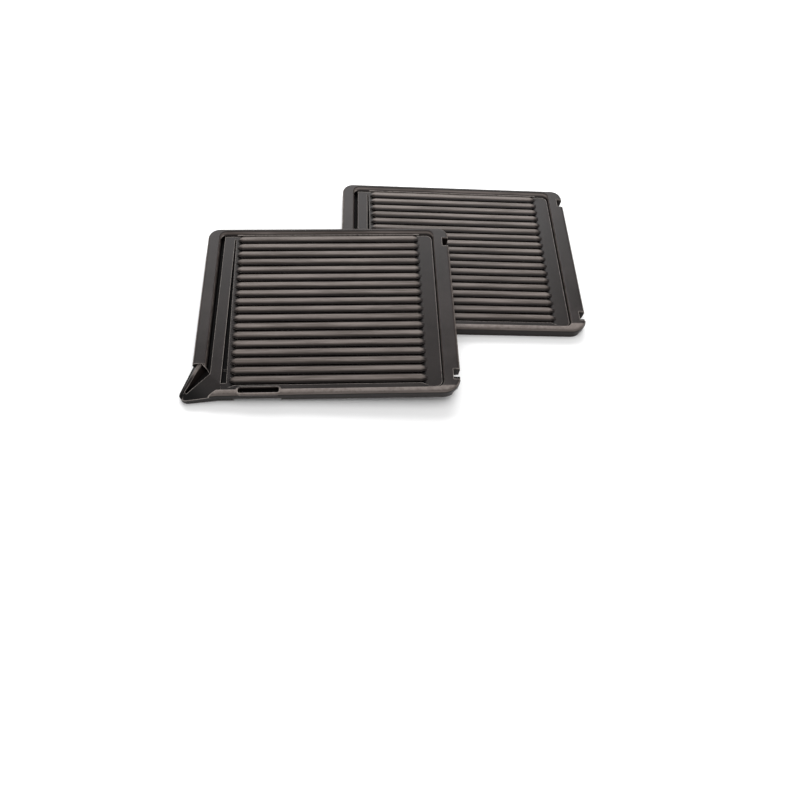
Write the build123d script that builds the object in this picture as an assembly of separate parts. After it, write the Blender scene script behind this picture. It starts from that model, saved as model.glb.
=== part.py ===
from build123d import *
import math
import os

# The pair of removable grill plates of a two-sided contact grill.  Both are
# the same die-cast, non-stick coated aluminium casting.  One lies flat; the
# other lies across its near left corner, as a washed pair is put down.
#
# Millimetres.  In the casting's own frame +X points to the hinge side, +Y to
# the far side and +Z up, with the origin under its middle on the skirt's foot.

# ---- the casting's overall size
width = 250.0            # gutter side to hinge side, without the spout
depth = 201.0            # near edge to far edge
height = 12.0            # skirt's foot to the top of the rim
wall = 2.4               # thickness of the casting
draft = 5.0              # degrees that the skirt leans in towards its foot
corner_far = 12.0        # plan radius of the two far corners
corner_near = 17.0       # plan radius of the near right corner
rim_round = 3.4          # rounding along the rim's outer edge

# ---- heights of the cooking side, above the skirt's foot
margin_z = 8.8           # flat border round the ribs
groove_z = 7.2           # bottom of the slits between ribs
rib_z = 10.6             # flat tops of the ribs
gutter_z = 3.8           # bottom of the fat gutter
pour_z = 2.9             # bottom of the spout's channel
line_z = 7.6             # bottom of the fine groove at the rim's foot
channel_z = 4.8          # bottom of the side channel along the rib ends

# ---- plan sizes of the cooking side
rim_left = 13.0          # width of the rim beside the gutter
rim_right = 16.5         # width of the rim on the hinge side
rim_far = 4.2            # width of the far rim's flat top
rim_far_slope = 4.0      # run of the far rim's inner slope
rim_near = 6.4           # width of the rolled near rim
inner_corner = 7.0       # plan radius inside the rim
line_width = 1.3         # width of the fine groove at the rim's foot
gutter_width = 4.6
band_width = 10.2        # flat bank between the gutter and the side channel
channel_far = 1.5        # width of the side channel at its far end
channel_near = 5.2       # and at its near end
groove_count = 19
pitch = 10.0             # rib to rib
field_y = 2.3            # middle of the ribbed field
rib_top = 3.4            # flat width on top of a rib
slit_mouth = 1.7         # width of the slit between two ribs at its top
slit_floor = 0.9         # and at its bottom
rib_right = 89.0         # right end of the rib tops
rib_left_far = -89.6     # left end of the farthest rib's top
rib_left_near = -85.4    # left end of the nearest rib's top
rib_hip = 5.2            # run of the pointed end of a rib
tip_width = 3.4          # width left of a rib at its pointed end
edge_round = 0.5         # rounding of the ribs' top edges
mouth_round = 1.1        # rounding along the rim's inner edge

# ---- the spout at the near left corner, and the fittings in the edges
spout_reach = 9.5        # how far it stands out past the gutter side
spout_drop = 3.0         # how far it stands out past the near edge
spout_length = 34.0      # where it leaves the gutter side, from the near edge
spout_z = 6.8            # height of its lips at the tip
lip_inset = 4.3          # how far its far lip starts inside the rim
notch_y = (80.4, -81.3)  # middles of the two notches on the hinge side
notch_length = 11.4
notch_depth = 7.2
lug_width = 4.6
lug_z = 7.6              # top of the locating lug in each notch
latch_x = (-80.5, -43.0) # ends of the latch slot in the near rim
latch_wall = 1.9         # thickness left round the slot
latch_floor_z = 5.6      # bottom of the latch slot

# ---- how the second casting lies on the first
stack_x = 137.0          # how far the flat one is to the right of the upper one
stack_y = 79.0           # and how far beyond it
stack_turn = -0.7        # degrees that the flat one is turned in plan
rest_gap = 0.2           # air left where the upper one touches

left, right = -width / 2, width / 2
near, far = -depth / 2, depth / 2
inner_left, inner_right = left + rim_left, right - rim_right
inner_near, inner_far = near + rim_near, far - rim_far - rim_far_slope
gutter_right = inner_left + gutter_width
band_right = gutter_right + band_width
over = 2.0               # how far a cutter runs past the face that it opens


def block(x0, x1, y0, y1, z0, z1):
    """A box given by its limits."""
    return Pos((x0 + x1) / 2, (y0 + y1) / 2, (z0 + z1) / 2) * Box(x1 - x0, y1 - y0, z1 - z0)


def flare(low_points, low, high_points, high):
    """A straight-sided solid between two plan polygons at two heights."""
    bottom = Pos(0, 0, low) * make_face(Polyline(*low_points, close=True))
    top = Pos(0, 0, high) * make_face(Polyline(*high_points, close=True))
    return loft([bottom, top], ruled=True)


def prism(points, low, high):
    """An upright block on a plan polygon."""
    return flare(points, low, points, high)


def oblong(x0, x1, y0, y1):
    """The four corners of a plan rectangle."""
    return [(x0, y0), (x1, y0), (x1, y1), (x0, y1)]


def rounded(x0, x1, y0, y1, radius):
    """A plan face with rounded corners."""
    return Pos((x0 + x1) / 2, (y0 + y1) / 2) * RectangleRounded(x1 - x0, y1 - y0, radius)


def outline(inset=0.0):
    """The casting's plan outline with the spout, moved in by an inset."""
    l, r, n, f = left + inset, right - inset, near + inset, far - inset
    a, b = corner_far - inset, corner_near - inset
    root = (l, near + spout_length)
    tip = (left - spout_reach + inset, near + 6.0 + inset)
    toe = (left - 2.5 + inset, near - spout_drop + inset)
    end = (left + 26.0, n)
    edges = Line(root, (l, f - a))
    edges += RadiusArc((l, f - a), (l + a, f), a)
    edges += Line((l + a, f), (r - a, f))
    edges += RadiusArc((r - a, f), (r, f - a), a)
    edges += Line((r, f - a), (r, n + b))
    edges += RadiusArc((r, n + b), (r - b, n), b)
    edges += Line((r - b, n), end)
    edges += Line(end, toe)
    edges += RadiusArc(toe, tip, 8.0 - inset)
    edges += Line(tip, root)
    return make_face(edges)


def outer_block():
    """The block with its drafted skirt and its rounded rim."""
    lean = height * math.tan(math.radians(draft))
    body = loft([outline(lean), Pos(0, 0, height) * outline()], ruled=True)
    return fillet(body.faces().sort_by(Axis.Z)[-1].edges(), rim_round)


def latch_slot(grow, low, high):
    """A round-ended slot in the near rim, or the wall round it."""
    x0, x1 = latch_x[0] - grow, latch_x[1] + grow
    y0, y1 = near + 2.0 - grow, inner_near + 1.7 + grow
    return Pos(0, 0, low) * extrude(rounded(x0, x1, y0, y1, 2.2 + grow), high - low)


def cooking_recess():
    """What is cut from above: the recess in the rim, its gutter and grooves."""
    floor = Pos(0, 0, margin_z) * rounded(inner_left, inner_right, inner_near, inner_far, inner_corner)
    mouth = Pos(0, 0, height + 0.01) * rounded(
        inner_left - 0.6, inner_right + 0.6, inner_near - 0.4, inner_far + rim_far_slope, inner_corner)
    return loft([floor, mouth], ruled=True)


def recess_grooves():
    """The gutter, the side channel and the fine groove, below the flat border."""
    ring = rounded(inner_left, inner_right, inner_near, inner_far, inner_corner) - rounded(
        inner_left + line_width, inner_right - line_width, inner_near + line_width,
        inner_far - line_width, inner_corner - line_width)
    ring -= Pos(inner_left, inner_near) * Rectangle(2 * (rib_right + rib_hip - inner_left), 20)
    ring -= Pos(inner_left, 0) * Rectangle(2 * gutter_width - 1, depth)
    gutter_end = near + spout_length - 9.0
    cuts = [Pos(0, 0, line_z) * extrude(ring, margin_z - line_z + 0.5)]
    cuts.append(flare(
        oblong(inner_left + 0.8, gutter_right - 0.8, gutter_end, inner_far - 1.5), gutter_z,
        oblong(inner_left, gutter_right, gutter_end, inner_far), margin_z + 0.5))
    channel_ends = (groove_y(0) - 5.0, groove_y(groove_count - 1) + 1.5)
    cuts.append(flare(
        [(band_right + 0.3, channel_ends[0] - 1), (band_right + 0.3, channel_ends[1] + 0.5),
         (band_right + channel_near - 0.8, channel_ends[1] + 0.5), (band_right + 0.9, channel_ends[0] - 1)],
        channel_z,
        [(band_right, channel_ends[0]), (band_right, channel_ends[1]),
         (band_right + channel_near, channel_ends[1]), (band_right + channel_far, channel_ends[0])],
        margin_z + 0.1))
    return cuts


def latch_boss():
    """The raised wall round the latch slot, which bulges in from the near rim."""
    boss = latch_slot(latch_wall, margin_z - 0.5, height)
    return fillet(boss.edges().group_by(Axis.Z)[-1], mouth_round)


def groove_y(i):
    return field_y + pitch * ((groove_count - 1) / 2 - i)


def rib_left(i):
    return rib_left_far + (rib_left_near - rib_left_far) * i / (groove_count - 2)


def pointed_bar(x0, x1, y, half, hip, tip_half):
    """Plan points of a bar whose two ends narrow, or widen, over the hip's run."""
    return [(x0, y - half), (x1, y - half), (x1 + hip, y - tip_half), (x1 + hip, y + tip_half),
            (x1, y + half), (x0, y + half), (x0 - hip, y + tip_half), (x0 - hip, y - tip_half)]


def ribs():
    """The slits to cut below the margin, and the ribs that stand above it."""
    flare_half = (pitch - tip_width) / 2
    slits, bars = [], []
    for i in range(groove_count):
        y = groove_y(i)
        x = rib_left(min(i, groove_count - 2))
        slits.append(flare(
            pointed_bar(x + 1, rib_right - 1, y, slit_floor / 2, 2.4, flare_half * 0.45), groove_z,
            pointed_bar(x + 1, rib_right - 1, y, slit_mouth / 2, rib_hip + 1, flare_half), margin_z + 0.01))
    for i in range(groove_count - 1):
        y = groove_y(i) - pitch / 2
        x = rib_left(i)
        bar = flare(
            pointed_bar(x + 1, rib_right - 1, y, (pitch - slit_mouth) / 2, rib_hip + 1, tip_width / 2),
            margin_z - 0.01,
            pointed_bar(x + 1.5, rib_right - 1.5, y, rib_top / 2, 1.5, rib_top / 4), rib_z)
        bars.append(fillet(bar.edges().group_by(Axis.Z)[-1], edge_round))
    return slits, bars


def plane_through(first, second, third):
    """The plane on three points, facing up."""
    a, b, c = Vector(*first), Vector(*second), Vector(*third)
    normal = (b - a).cross(c - a).normalized()
    return Plane(origin=a, x_dir=b - a, z_dir=normal if normal.Z > 0 else -normal)


def above(plane):
    """A large block on the upper side of a plane."""
    return plane * Pos(0, 0, 20) * Box(240, 240, 40)


def spout_cuts():
    """The pouring channel, and the faces that fall away on both sides of it."""
    root = near + spout_length
    tip_x, tip_y = left - spout_reach + 4.3, near + 3.4
    lip_root = inner_left - lip_inset
    channel = flare(
        [(inner_left + 0.2, root - 1.5), (gutter_right - 1.0, root - 8), (tip_x + 4.2, tip_y + 2.6),
         (tip_x + 2.4, tip_y + 4.6)], pour_z,
        [(lip_root, root + 0.5), (gutter_right + 0.4, root - 9.9), (tip_x + 0.8, tip_y - 0.8),
         (tip_x - 0.8, tip_y + 0.8)], height + 0.1)
    beyond_x, beyond_y = left - 20, near - 12
    far_zone = prism([(beyond_x, root), (inner_left + 1.3, root), (gutter_right - 1, root - 4),
                      (tip_x, tip_y), (tip_x - 1, beyond_y), (beyond_x, beyond_y)], -over, height + over)
    near_zone = prism([(gutter_right - 1.4, root - 3.7), (band_right - 1, inner_near + 11),
                       (band_right + 0.7, inner_near + 1.8), (left + 17, near - 1),
                       (left + 4, beyond_y), (tip_x - 4, beyond_y), (tip_x - 0.4, tip_y + 0.3)],
                      -over, height + over)
    crest = plane_through((lip_root, root, height - 0.3), (lip_root - 3, root - 1, height - 0.5),
                          (tip_x, tip_y, spout_z))
    flank = plane_through((lip_root - 1.7, root, height - 0.2), (tip_x - 2.3, tip_y + 1.4, spout_z),
                          (left - 0.4, root, 5.0))
    apron = plane_through((gutter_right, root - 11.5, margin_z), (band_right, inner_near + 6, margin_z),
                          (tip_x, tip_y, spout_z))
    return [channel, far_zone & above(crest), far_zone & above(flank), near_zone & above(apron)]


def underside():
    """The hollow below the cooking surface, open downwards."""
    skirt = wall + height * math.tan(math.radians(draft))
    x0, x1 = left + skirt, right - skirt
    y0, y1 = near + skirt, far - skirt
    shallow = gutter_z - wall
    ceiling = groove_z - wall
    hollow = extrude(rounded(x0, x1, y0, y1, 8.0), shallow)
    hollow -= prism([(left - 20, near - 20), (left + 32, near - 20), (left + 32, near + 10),
                     (left + 22, near + spout_length + 4), (left - 20, near + spout_length + 4)], 0, shallow)
    hollow += flare(
        oblong(gutter_right + wall, x1, y0 + 8, y1), 0,
        oblong(gutter_right + wall + 0.6, x1 - 0.4, y0 + 8.6, y1 - 0.4), ceiling)
    hollow += flare(
        oblong(left + 40, x1, y0, y1), 0,
        oblong(left + 40, x1 - 0.4, y0 + 0.4, y1 - 0.4), ceiling)
    hollow += flare(
        oblong(inner_right + wall, x1, notch_y[1] + 14, notch_y[0] - 14), 0,
        oblong(inner_right + wall + 0.8, x1 - 0.5, notch_y[1] + 15, notch_y[0] - 15), height - wall - 1)
    hollow += flare(
        oblong(x0, inner_left - wall, near + spout_length + 6, far - 16), 0,
        oblong(x0 + 0.4, inner_left - wall - 0.8, near + spout_length + 7, far - 17), height - wall - 1)
    for y in notch_y:
        hollow -= block(inner_right, right, y - 9.5, y + 9.5, 0, height)
    hollow -= latch_slot(wall, latch_floor_z - wall, height)
    hollow -= block(band_right - wall, band_right + channel_near + 1.5, near, far, channel_z - wall, height)
    return hollow


def underside_detail():
    """The heater's contact land, stiffening webs and gussets inside the hollow."""
    ceiling = groove_z - wall
    land_z = ceiling - 1.2
    loop = rounded(-74, 78, -52, 62, 26) - rounded(-60, 64, -38, 48, 14)
    loop -= Pos(78, 5) * Rectangle(40, 18)
    parts = [Pos(0, 0, land_z) * extrude(loop, 1.2 + 0.3)]
    parts.append(Pos(2, 5, land_z + 0.75) * Cylinder(13, 1.5))
    web_z = ceiling - 2.4
    for y in (-70, 80):
        parts.append(block(-100, 119, y - 0.9, y + 0.9, web_z, ceiling + 0.2))
    for x in (-90, 94):
        parts.append(block(x - 0.9, x + 0.9, -88, 94, web_z, ceiling + 0.2))
    gusset = Plane.YZ * make_face(Polyline((0, 0.8), (0, ceiling + 0.2), (9, ceiling + 0.2), close=True))
    bar = extrude(gusset, 0.9, both=True)
    for i in range(5):
        x = -60 + 36 * i
        parts.append(Pos(x, near + wall + 0.9, 0) * bar)
        parts.append(Pos(x, far - wall - 0.9, 0) * Rot(0, 0, 180) * bar)
    for i in range(4):
        y = -54 + 36 * i
        parts.append(Pos(right - wall - 0.9, y, 0) * Rot(0, 0, 90) * bar)
    return parts


def edge_cuts():
    """The latch slot, the relief below it and the two hinge-side notches."""
    cuts = [latch_slot(0, latch_floor_z, height + over)]
    cuts.append(block(latch_x[0] - 5, latch_x[1] + 1, near - over, near + wall + 1.6, -over,
                      latch_floor_z - wall))
    for y in notch_y:
        cuts.append(block(right - notch_depth, right + over, y - notch_length / 2, y + notch_length / 2,
                          -over, height + over))
    return cuts


def lugs():
    """The locating lug that stands in each hinge-side notch."""
    radius = lug_width / 2
    made = []
    for y in notch_y:
        y_lug = y - notch_length / 2 + 1.3 + radius
        bar = block(right - notch_depth - 1, right - 0.7, y_lug - radius, y_lug + radius, 2.0, lug_z - radius)
        nose = Pos((2 * right - notch_depth - 1.7) / 2, y_lug, lug_z - radius) * Rot(0, 90, 0) * Cylinder(
            radius, notch_depth + 0.3)
        made.append(bar + nose)
    return made


def grill_plate():
    """One casting, in its own frame."""
    slits, bars = ribs()
    body = outer_block() - cooking_recess()
    body = fillet(body.faces().filter_by(Axis.Z).sort_by(Axis.Z)[-1].inner_wires()[0].edges(), mouth_round)
    body += latch_boss()
    body -= recess_grooves() + slits
    body += bars
    for cut in spout_cuts():
        body -= cut
    body -= underside()
    body += underside_detail()
    body -= edge_cuts()
    body += lugs()
    return body


def leaning_place():
    """Where the upper casting lies: its spout's foot on the surface, its far
    and its hinge-side skirt on the rim corners of the flat casting."""
    lean = height * math.tan(math.radians(draft))
    foot = Vector(left - spout_reach + 2.5, near + 1.0, 0)
    far_touch = Vector(stack_x + left + rim_round, far - lean - wall, height)
    side_touch = Vector(right - lean - wall, stack_y + near + rim_round, height)
    up = (side_touch - foot).cross(far_touch - foot).normalized()
    centre_z = foot.Z + (up.X * foot.X + up.Y * foot.Y) / up.Z + rest_gap
    along = Vector(1, 0, -up.X / up.Z)
    return Plane(origin=(0, 0, centre_z), x_dir=along, z_dir=up).location


def pair():
    """Both castings, with the origin below the middle of the pair."""
    plate = grill_plate()
    lower = Pos(stack_x, stack_y, 0) * Rot(0, 0, stack_turn) * plate
    upper = leaning_place() * plate
    box = lower.bounding_box().add(upper.bounding_box())
    centred = Pos(-box.center().X, -box.center().Y, -box.min.Z)
    return {"lower_grill_plate": centred * lower, "upper_grill_plate": centred * upper}


os.makedirs("parts", exist_ok=True)
for name, solid in pair().items():
    print(name, "valid", solid.is_valid, "volume", round(solid.volume), solid.bounding_box())
    export_step(solid, f"parts/{name}.step")
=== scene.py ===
import math

import bmesh
import bpy
from mathutils import Matrix, Vector


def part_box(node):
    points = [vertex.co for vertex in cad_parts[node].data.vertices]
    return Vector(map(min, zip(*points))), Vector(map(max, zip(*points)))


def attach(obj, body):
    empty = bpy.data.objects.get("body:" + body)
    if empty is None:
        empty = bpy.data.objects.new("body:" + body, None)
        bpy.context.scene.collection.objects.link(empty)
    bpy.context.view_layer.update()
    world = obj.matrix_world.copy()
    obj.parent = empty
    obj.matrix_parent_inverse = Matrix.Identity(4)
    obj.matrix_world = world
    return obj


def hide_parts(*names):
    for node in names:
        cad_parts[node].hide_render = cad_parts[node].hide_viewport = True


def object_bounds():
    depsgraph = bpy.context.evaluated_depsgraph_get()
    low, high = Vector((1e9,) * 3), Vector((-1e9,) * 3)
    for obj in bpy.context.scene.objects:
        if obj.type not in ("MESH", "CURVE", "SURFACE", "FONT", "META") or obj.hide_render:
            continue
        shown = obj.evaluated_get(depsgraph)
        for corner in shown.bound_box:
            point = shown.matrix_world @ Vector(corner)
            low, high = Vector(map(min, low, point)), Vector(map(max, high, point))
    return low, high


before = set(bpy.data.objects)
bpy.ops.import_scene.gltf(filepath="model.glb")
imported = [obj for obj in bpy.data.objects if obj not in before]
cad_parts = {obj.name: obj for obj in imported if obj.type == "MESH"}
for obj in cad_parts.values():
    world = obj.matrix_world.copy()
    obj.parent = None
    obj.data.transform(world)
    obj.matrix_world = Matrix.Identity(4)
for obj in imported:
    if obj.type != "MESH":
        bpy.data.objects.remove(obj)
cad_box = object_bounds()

# A pair of removable grill plates, each a die casting with a dark non-stick coating.

low, high = (Vector(corner) for corner in cad_box)
centre = (low + high) / 2

# Heights above a casting's foot, in metres.
groove_floor = 0.0070
flat_border = 0.0087
rib_top = 0.0105
rim_top = 0.0119

spout_drop = 0.0030          # how far the spout stands out past the near edge
near_rim_width = 0.0064

# How far the painted shade in corners, the painted edge highlights and the softened edges reach, in
# metres.
corner_reach = 0.005
edge_highlight_reach = 0.0008
edge_radius = 0.00035
grain_height = 0.00015

# How dense each noise is, in features a metre.
cloud_density = 26.0
blotch_density = 240.0
grain_density = 1500.0
# Streaks in the painted highlight on the bars.
highlight_streak_density = (14.0, 210.0, 210.0)   # drawn out along the bars

floor_half_width = 3.0
sharp_angle = math.radians(28)           # edges that turn more than this stay sharp


# ---------------------------------------------------------------- shader maths

class Wire:
    """A shader socket that can be used in Python expressions."""

    def __init__(self, tree, value):
        self.tree = tree
        self.value = value

    def node(self, kind, settings=None, output=0, **values):
        """Adds any node: its settings first, then the values or links of its sockets."""
        made = self.tree.nodes.new(kind)
        for name, setting in (settings or {}).items():
            setattr(made, name, setting)
        for name, value in values.items():
            key = int(name[1:]) if name[0] == "i" and name[1:].isdigit() else name.replace("_", " ")
            socket = made.inputs[key]
            if isinstance(value, Wire):
                value = value.value
            if isinstance(value, bpy.types.NodeSocket):
                self.tree.links.new(value, socket)
            else:
                socket.default_value = value
        return Wire(self.tree, made.outputs[output])

    def math(self, operation, *values):
        inputs = {f"i{i}": value for i, value in enumerate(values)}
        return self.node("ShaderNodeMath", {"operation": operation}, **inputs)

    def __add__(self, other):
        return self.math("ADD", self, other)

    def __sub__(self, other):
        return self.math("SUBTRACT", self, other)

    def __rsub__(self, other):
        return self.math("SUBTRACT", other, self)

    def __mul__(self, other):
        return self.math("MULTIPLY", self, other)

    __radd__ = __add__
    __rmul__ = __mul__

    def step(self, start, end):
        """0 below start, 1 above end, smooth between them."""
        return self.node("ShaderNodeMapRange", {"interpolation_type": "SMOOTHSTEP"},
                         i0=self, i1=start, i2=end, i3=0.0, i4=1.0)

    def mix(self, first, second):
        """A colour between two others, with this wire as the share of the second."""
        return self.node("ShaderNodeMix", {"data_type": "RGBA"}, output=2,
                         i0=self, i6=first, i7=second)


def linear(red, green, blue):
    """A colour given as the eye sees it, from 0 to 255, as linear light."""
    values = []
    for part in (red, green, blue):
        part /= 255
        values.append(part / 12.92 if part <= 0.04045 else ((part + 0.055) / 1.055) ** 2.4)
    return (*values, 1.0)


def new_material(name):
    """An empty material, its shader node and a wire on its Object coordinates."""
    material = bpy.data.materials.new(name)
    material.use_nodes = True
    tree = material.node_tree
    shader = tree.nodes["Principled BSDF"]
    place = Wire(tree, None).node("ShaderNodeTexCoord", output="Object")
    return material, tree, shader, place


def plug(tree, shader, name, wire):
    tree.links.new(wire.value, shader.inputs[name])


# ---------------------------------------------------------------- materials

def lie_of(node):
    """The up direction of a casting, from its widest flat face, and how far its foot is along it."""
    areas = {}
    for face in node.data.polygons:
        if face.normal.z > 0.9:
            key = tuple(round(part, 3) for part in face.normal)
            areas.setdefault(key, [0.0, Vector()])
            areas[key][0] += face.area
            areas[key][1] += face.normal * face.area
    up = max(areas.values())[1].normalized()
    return up, min(vertex.co.dot(up) for vertex in node.data.vertices)


def coated_casting(node_name):
    """Dark satin non-stick coating on die-cast aluminium, painted lighter on what stands up as painted
    highlight and near-black in recesses and corners as painted shade.
    """
    up, foot = lie_of(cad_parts[node_name])
    material, tree, shader, place = new_material(node_name + "_coating")
    height = place.node("ShaderNodeVectorMath", {"operation": "DOT_PRODUCT"}, output="Value",
                        i0=place, i1=up) - foot
    cloud = place.node("ShaderNodeTexNoise", Vector=place, Scale=cloud_density, Detail=4.0,
                       Roughness=0.6)
    along = place.node("ShaderNodeMapping", Vector=place, Scale=highlight_streak_density)
    highlight_streaks = place.node("ShaderNodeTexNoise", Vector=along, Scale=1.0, Detail=5.0, Roughness=0.65)
    grain = place.node("ShaderNodeTexNoise", Vector=place, Scale=grain_density, Detail=3.0)
    blotch = place.node("ShaderNodeTexNoise", Vector=place, Scale=blotch_density, Detail=5.0,
                        Roughness=0.7)

    fresh = cloud.step(0.3, 0.7).mix(linear(22, 18, 17), linear(31, 26, 25))
    # The near-black is painted shade for recess floors and inside corners.
    painted_shade = linear(3, 2, 2)
    # A lighter tone for the painted highlight on the bars, streaked along them.
    painted_bar_highlight = highlight_streaks.step(0.35, 0.65).mix(linear(76, 69, 65), linear(106, 98, 94))
    # A slightly lighter tone painted on the rim.
    rim = cloud.step(0.3, 0.75).mix(linear(30, 26, 25), linear(44, 39, 38))
    # A lighter tone for the painted highlight on the near rim.
    painted_rim_highlight = blotch.step(0.3, 0.65).mix(linear(92, 84, 80), linear(112, 104, 100))
    # A lighter grey for the painted highlights along outside edges.
    edge_highlight = linear(150, 142, 137)

    # Painted light by height: the recess floors are painted near-black as painted shade, the bars are
    # painted lighter as a painted highlight, and the rim above them is painted a little lighter.
    facing = place.node("ShaderNodeTexCoord", output="Normal")
    level = place.node("ShaderNodeVectorMath", {"operation": "DOT_PRODUCT"}, output="Value",
                       i0=facing, i1=up).step(0.4, 0.8)
    recess = (1 - height.step(groove_floor, flat_border)) * level
    colour = recess.mix(fresh, painted_shade)
    colour = height.step(flat_border + 0.0006, rib_top).mix(colour, painted_bar_highlight)
    colour = height.step(rib_top + 0.0002, rim_top).mix(colour, rim)

    # The near rim's rolled top is painted lighter, a painted highlight.
    edge_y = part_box(node_name)[0].y + spout_drop
    outward = place.node("ShaderNodeSeparateXYZ", output="Y", Vector=place)
    near_rim = 1 - outward.step(edge_y + near_rim_width * 0.85, edge_y + near_rim_width * 1.1)
    colour = (near_rim * height.step(rib_top, rim_top)).mix(colour, painted_rim_highlight)

    # Inside corners are painted near-black as painted shade, and outside edges get thin painted
    # highlights of a lighter grey.
    corner = place.node("ShaderNodeAmbientOcclusion", {"samples": 8, "only_local": True},
                        output="AO", Distance=corner_reach)
    colour = corner.step(0.3, 0.9).mix(painted_shade, colour)
    edge = place.node("ShaderNodeAmbientOcclusion", {"samples": 8, "inside": True, "only_local": True},
                      output="AO", Distance=edge_highlight_reach)
    edge_highlight_share = (1 - edge.step(0.55, 0.9)) * blotch.step(0.2, 0.55)
    colour = (edge_highlight_share * 0.85).mix(colour, edge_highlight)
    plug(tree, shader, "Base Color", colour)
    plug(tree, shader, "Roughness", grain * 0.12 + cloud * 0.16 + recess * 0.45 + 0.22)

    soft_edge = place.node("ShaderNodeBevel", {"samples": 6}, Radius=edge_radius)
    bump = grain.node("ShaderNodeBump", Strength=0.22, Distance=grain_height,
                      Height=grain + blotch * 0.6, Normal=soft_edge)
    plug(tree, shader, "Normal", bump)
    shader.inputs["Specular IOR Level"].default_value = 0.13
    return material


def floor_material():
    """Plain pale paper, which is part of the studio and not of the plates."""
    material, _, shader, _ = new_material("studio_floor")
    shader.inputs["Base Color"].default_value = linear(244, 244, 244)
    shader.inputs["Roughness"].default_value = 0.9
    return material


# ---------------------------------------------------------------- stage, light and camera

def make_floor():
    mesh = bmesh.new()
    bmesh.ops.create_grid(mesh, x_segments=1, y_segments=1, size=floor_half_width)
    data = bpy.data.meshes.new("studio_floor")
    mesh.to_mesh(data)
    mesh.free()
    floor = bpy.data.objects.new("studio_floor", data)
    bpy.context.scene.collection.objects.link(floor)
    data.materials.append(floor_material())


def make_light(name, place, size, power, aim):
    light = bpy.data.lights.new(name, "AREA")
    light.shape = "RECTANGLE"
    light.size, light.size_y = size
    light.energy = power
    lamp = bpy.data.objects.new(name, light)
    lamp.matrix_world = (Matrix.Translation(place)
                         @ (aim - place).to_track_quat("-Z", "Y").to_matrix().to_4x4())
    bpy.context.scene.collection.objects.link(lamp)


def make_lights():
    """A wide softbox behind the plates, a square one above them, and an even white world."""
    make_light("back_softbox", centre + Vector((-0.15, 0.9, 0.75)), (1.6, 0.7), 20, centre)
    make_light("top_softbox", centre + Vector((0.3, -0.1, 1.5)), (1.2, 1.2), 12, centre)
    world = bpy.data.worlds.new("studio")
    world.use_nodes = True
    background = world.node_tree.nodes["Background"]
    background.inputs["Color"].default_value = (1, 1, 1, 1)
    background.inputs["Strength"].default_value = 0.55
    bpy.context.scene.world = world
    bpy.context.scene.view_settings.view_transform = "Standard"


def make_camera():
    """The camera looks down on the pair from the near side."""
    aim = Vector((centre.x + 0.0030, low.y - 0.0002, 0.010))
    distance = 0.6468
    turn = math.radians(8.54)
    fall = math.radians(58.43)
    roll = math.radians(7.45)
    ahead = Vector((math.sin(turn) * math.cos(fall), math.cos(turn) * math.cos(fall), -math.sin(fall)))
    data = bpy.data.cameras.new("camera")
    data.sensor_width = 36.0
    data.lens = 31.5
    data.clip_start = 0.01
    camera = bpy.data.objects.new("camera", data)
    level = ahead.to_track_quat("-Z", "Y").to_matrix()
    camera.matrix_world = (Matrix.Translation(aim - distance * ahead)
                           @ (level @ Matrix.Rotation(roll, 3, "Z")).to_4x4())
    bpy.context.scene.collection.objects.link(camera)
    bpy.context.scene.camera = camera


def show_casting(node_name, body):
    """A smoothly shaded casting, from a merged copy of the node's mesh."""
    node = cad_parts[node_name]
    mesh = bmesh.new()
    mesh.from_mesh(node.data)
    bmesh.ops.remove_doubles(mesh, verts=mesh.verts, dist=1e-6)
    for face in mesh.faces:
        face.smooth = True
    for edge in mesh.edges:
        edge.smooth = edge.calc_face_angle(math.pi) < sharp_angle
    data = bpy.data.meshes.new(node_name + "_casting")
    mesh.to_mesh(data)
    mesh.free()
    piece = bpy.data.objects.new(node_name + "_casting", data)
    bpy.context.scene.collection.objects.link(piece)
    data.materials.append(coated_casting(node_name))
    weights = piece.modifiers.new("even_shading", "WEIGHTED_NORMAL")
    weights.keep_sharp = True
    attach(piece, body)
    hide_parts(node_name)


make_camera()
show_casting("lower_grill_plate", "lower_plate")
show_casting("upper_grill_plate", "upper_plate")
make_floor()
make_lights()
